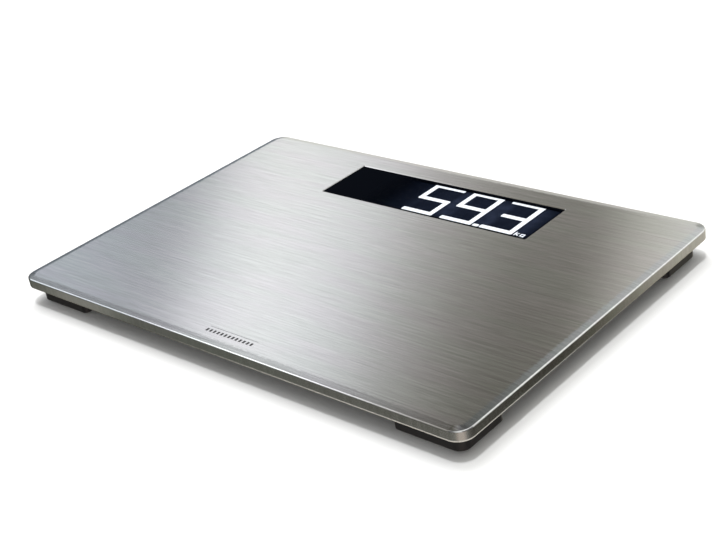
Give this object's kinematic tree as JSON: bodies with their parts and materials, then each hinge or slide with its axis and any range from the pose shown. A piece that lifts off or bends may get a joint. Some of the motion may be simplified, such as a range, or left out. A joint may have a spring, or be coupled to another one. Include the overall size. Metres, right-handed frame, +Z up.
{
  "type": "digital bathroom scale",
  "caption": "Low rectangular bathroom scale: brushed steel platform, flush dark display window with large lit figures, load-cell feet under the corners, battery door and unit button beneath.",
  "frame": {"origin": "on the floor under the centre of the platform", "axes": "+X along the long edge to the reader's right, +Y towards the display edge, +Z up"},
  "size_m": [0.36, 0.242, 0.019],
  "materials": {
    "pan_steel": "brushed",
    "lens_black": "glossy",
    "tape_black": "matte",
    "lit_white": "lit",
    "polariser": "satin",
    "cell_glass": "clear",
    "acrylic": "clear",
    "white_film": "matte",
    "white_abs": "satin",
    "zebra": "matte",
    "led_white": "glossy",
    "solder_mask": "satin",
    "epoxy_black": "glossy",
    "capacitor_can": "satin",
    "chip_black": "satin",
    "switch_black": "satin",
    "screw_zinc": "bright",
    "tray_black": "fine texture",
    "plate_galvanised": "matte",
    "foam_white": "matte",
    "button_grey": "satin",
    "cell_jacket": "satin",
    "nickel": "bright",
    "pvc_red": "satin",
    "pvc_black": "satin",
    "gauge_coat": "glossy",
    "pvc_white": "satin",
    "foot_black": "satin",
    "cell_steel": "satin",
    "shoe_black": "satin",
    "pad_rubber": "matte"
  },
  "bodies": {
    "body": {"top_cover": "pan_steel", "display_lens": "lens_black", "lens_tape": "tape_black", "lcd_figures": "lit_white", "polariser_front": "polariser", "glass_front": "cell_glass", "glass_rear": "cell_glass", "polariser_rear": "polariser", "light_guide": "acrylic", "reflector": "white_film", "lcd_frame": "white_abs", "elastomer_strip": "zebra", "backlight_leds": "led_white", "main_board": "solder_mask", "controller_blob": "epoxy_black", "capacitors": "capacitor_can", "crystal": "capacitor_can", "chip_resistors": "chip_black", "tact_switch": "switch_black", "board_screws": "screw_zinc", "base_tray": "tray_black", "stiffener_plate": "plate_galvanised", "foam_tape": "foam_white", "tray_screws": "screw_zinc", "battery_cells": "cell_jacket", "battery_caps": "nickel", "contact_springs": "nickel", "contact_plates": "nickel", "battery_lead_red": "pvc_red", "battery_lead_black": "pvc_black", "foot_screws": "screw_zinc", "strain_gauges": "gauge_coat", "cell_leads_red": "pvc_red", "cell_leads_white": "pvc_white", "cell_leads_black": "pvc_black", "foot_housing_fl": "foot_black", "load_cell_fl": "cell_steel", "foot_housing_fr": "foot_black", "load_cell_fr": "cell_steel", "foot_housing_bl": "foot_black", "load_cell_bl": "cell_steel", "foot_housing_br": "foot_black", "load_cell_br": "cell_steel"},
    "door": {"battery_door": "tray_black"},
    "button": {"unit_button": "button_grey"},
    "foot_fl": {"foot_shoe_fl": "shoe_black", "foot_pad_fl": "pad_rubber"},
    "foot_fr": {"foot_shoe_fr": "shoe_black", "foot_pad_fr": "pad_rubber"},
    "foot_bl": {"foot_shoe_bl": "shoe_black", "foot_pad_bl": "pad_rubber"},
    "foot_br": {"foot_shoe_br": "shoe_black", "foot_pad_br": "pad_rubber"}
  },
  "joints": [
    {"name": "foot_fl_press", "type": "slide", "parent": "body", "child": "foot_fl", "axis": [0, 0, 1], "range_m": [0, 0.0004], "stiffness_N_per_m": 200000, "deforming": ["load_cell_fl"]},
    {"name": "foot_fr_press", "type": "slide", "parent": "body", "child": "foot_fr", "axis": [0, 0, 1], "range_m": [0, 0.0004], "stiffness_N_per_m": 200000, "deforming": ["load_cell_fr"]},
    {"name": "foot_bl_press", "type": "slide", "parent": "body", "child": "foot_bl", "axis": [0, 0, 1], "range_m": [0, 0.0004], "stiffness_N_per_m": 200000, "deforming": ["load_cell_bl"]},
    {"name": "foot_br_press", "type": "slide", "parent": "body", "child": "foot_br", "axis": [0, 0, 1], "range_m": [0, 0.0004], "stiffness_N_per_m": 200000, "deforming": ["load_cell_br"]},
    {"name": "unit_button_press", "type": "slide", "parent": "body", "child": "button", "axis": [0, 0, 1], "range_m": [0, 0.0006], "stiffness_N_per_m": 400},
    {"name": "battery_door_hinge", "type": "hinge", "parent": "body", "child": "door", "pos_m": [0, -0.0106, 0.0031], "axis": [-1, 0, 0], "range_deg": [0, 85]}
  ]
}
